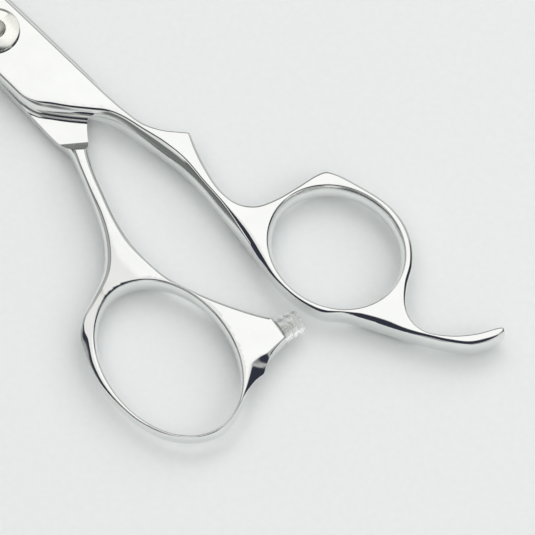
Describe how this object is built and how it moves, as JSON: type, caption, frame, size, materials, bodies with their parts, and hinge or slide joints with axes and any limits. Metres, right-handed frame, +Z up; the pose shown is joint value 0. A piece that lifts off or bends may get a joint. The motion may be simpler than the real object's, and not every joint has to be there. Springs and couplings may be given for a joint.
{
  "type": "hair cutting shears",
  "caption": "Polished steel hair cutting shears with ring handles, a curved finger tang, a click tension dial at the pivot and a clear bumper between the rings.",
  "frame": {"origin": "on the pivot axis, at the flat underside of the pivot screw head", "axes": "+X from the pivot to the finger rings, with the blade tips at -X; +Y towards the finger ring, with the thumb ring on the -Y side; +Z up along the pivot axis, towards the tension dial"},
  "size_m": [0.1685, 0.055, 0.007],
  "materials": {
    "mirror_steel": "mirror polished stainless steel",
    "dial_steel": "polished, finely turned",
    "screw_steel": "satin, finely turned",
    "spring_steel": "rolled spring steel",
    "nylon": "matte natural nylon",
    "clear_polymer": "clear soft polymer",
    "stem_polymer": "translucent moulded polymer"
  },
  "bodies": {
    "finger_half": {"finger_shear": "mirror_steel", "pivot_bush": "nylon", "friction_washer": "nylon"},
    "thumb_half": {"thumb_shear": "mirror_steel", "pivot_screw": "screw_steel", "glide_washer": "nylon", "disc_spring": "spring_steel", "index_plate": "spring_steel", "bumper": "clear_polymer", "bumper_stem": "stem_polymer"},
    "dial": {"tension_dial": "dial_steel", "click_spring": "spring_steel"}
  },
  "joints": [
    {"name": "blade_pivot", "type": "hinge", "parent": "finger_half", "child": "thumb_half", "pos_m": [0, 0, 0.0032], "axis": [0, 0, 1], "range_deg": [-90, 1.2]},
    {"name": "dial_turn", "type": "hinge", "parent": "thumb_half", "child": "dial", "pos_m": [0, 0, 0.006], "axis": [0, 0, 1], "range_deg": [-90, 90]}
  ]
}
